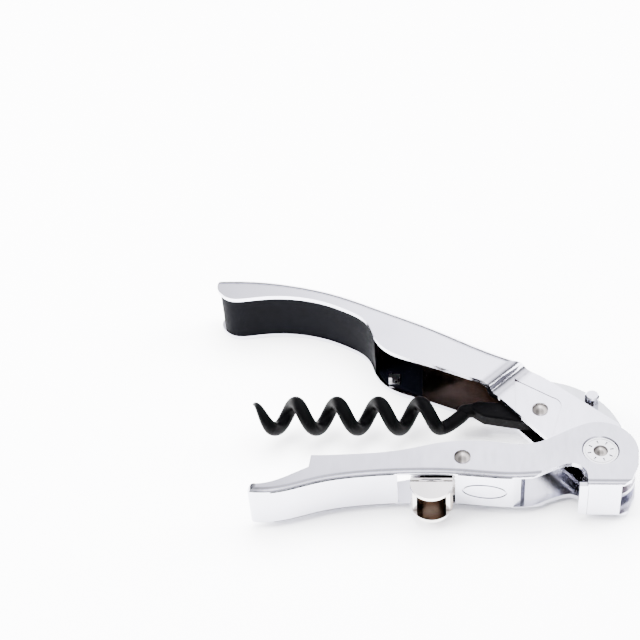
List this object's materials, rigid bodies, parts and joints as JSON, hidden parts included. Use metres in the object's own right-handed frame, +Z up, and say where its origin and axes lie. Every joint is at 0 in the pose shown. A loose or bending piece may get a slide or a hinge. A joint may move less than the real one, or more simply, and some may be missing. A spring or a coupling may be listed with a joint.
{
  "type": "lever corkscrew",
  "caption": "Folding lever corkscrew: chromed handle with black grip insert, coated worm, parrot-headed lever with cap lifter, sprung thumb catch and folding foil blade.",
  "frame": {"origin": "middle of the footprint at the surface that the tool lies on", "axes": "+Z up, out of the tool's side face; +X along the tool's length, from the grip's tail towards the lever axle; +Y from the lever towards the handle's back"},
  "size_m": [0.1052, 0.0736, 0.015],
  "materials": {
    "polished_chrome": "polished chrome plate",
    "black_grip": "satin moulded black plastic",
    "worm_coating": "black non-stick coating",
    "blade_steel": "ground stainless steel",
    "spring_steel": "bright spring steel",
    "catch_nickel": "bright nickel plate",
    "rivet_nickel": "nickel plate",
    "disc_chrome": "bright chrome with small engraved marks",
    "spacer_steel": "plain steel"
  },
  "bodies": {
    "handle": {"handle_shell": "polished_chrome", "grip_insert": "black_grip", "channel_liner": "black_grip", "worm_rest_clip": "spring_steel", "worm_rivet": "rivet_nickel", "worm_washer_upper": "spacer_steel", "worm_washer_lower": "spacer_steel", "blade_washer_upper": "spacer_steel", "blade_washer_lower": "spacer_steel"},
    "worm": {"worm": "worm_coating"},
    "blade": {"foil_blade": "blade_steel", "blade_stud": "polished_chrome"},
    "lever": {"lever_channel": "polished_chrome", "pivot_axle": "rivet_nickel", "pivot_disc_upper": "disc_chrome", "pivot_disc_lower": "disc_chrome", "axle_spacer_upper": "spacer_steel", "axle_spacer_lower": "spacer_steel", "lever_rivet": "rivet_nickel", "catch_collar_upper": "spacer_steel", "catch_collar_lower": "spacer_steel"},
    "catch": {"thumb_catch": "catch_nickel", "catch_spring": "spring_steel"}
  },
  "joints": [
    {"name": "lever_hinge", "type": "hinge", "parent": "handle", "child": "lever", "pos_m": [0.04381, -0.0235, 0.0075], "axis": [0, 0, 1], "range_deg": [-28, 100]},
    {"name": "worm_swing", "type": "hinge", "parent": "handle", "child": "worm", "pos_m": [0.03061, -0.0079, 0.0075], "axis": [0, 0, 1], "range_deg": [-20.1, 72]},
    {"name": "blade_fold", "type": "hinge", "parent": "handle", "child": "blade", "pos_m": [0.04381, -0.0235, 0.0075], "axis": [0, 0, -1], "range_deg": [0, 124]},
    {"name": "catch_press", "type": "hinge", "parent": "lever", "child": "catch", "pos_m": [0.01151, -0.0257, 0.0075], "axis": [0, 0, -1], "range_deg": [0, 14], "stiffness_Nm_per_rad": 0.02, "springref_deg": -17.19, "deforming": ["catch_spring"]}
  ],
  "couplings": [
    {"joint": "worm_swing", "follows": "lever_hinge", "ratio": 0.714}
  ]
}
